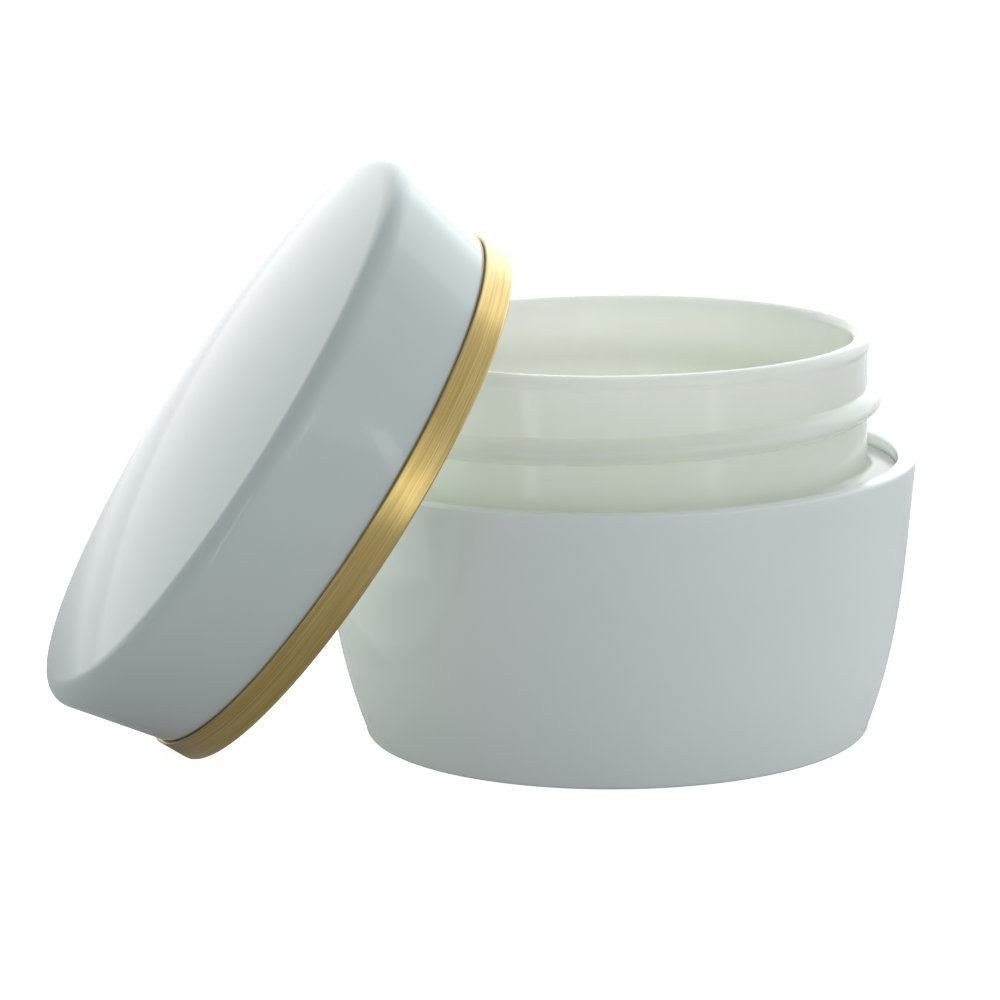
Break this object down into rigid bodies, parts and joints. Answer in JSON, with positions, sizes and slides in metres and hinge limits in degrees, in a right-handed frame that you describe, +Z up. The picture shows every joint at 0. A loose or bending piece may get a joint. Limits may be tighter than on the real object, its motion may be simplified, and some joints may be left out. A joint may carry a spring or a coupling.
{
  "type": "cosmetic cream jar",
  "caption": "Double-wall cosmetic cream jar with a threaded neck and an open cup, its domed screw lid with a metal trim band taken off and leaning on the neck.",
  "frame": {"origin": "centre of the jar's round base, on the surface the jar stands on", "axes": "+Z up along the jar's axis; -X towards the leaning lid; the lid leans in the XZ plane"},
  "size_m": [0.0959, 0.0688, 0.0637],
  "materials": {
    "jar_plastic": "gloss",
    "cup_plastic": "semi-gloss, slightly translucent",
    "lid_plastic": "high gloss",
    "band_metal": "brushed gold anodised",
    "cap_plastic": "satin",
    "liner_foam": "fine closed-cell foam"
  },
  "bodies": {
    "jar": {"outer_jar": "jar_plastic", "inner_cup": "cup_plastic"},
    "lid": {"lid_shell": "lid_plastic", "trim_band": "band_metal", "inner_cap": "cap_plastic", "cap_liner": "liner_foam"}
  },
  "joints": [
    {"name": "lid_swing", "type": "hinge", "parent": "jar", "child": "lid", "pos_m": [0.00982, 0, 0.01095], "axis": [0, 1, 0], "range_deg": [0, 55.4]}
  ]
}
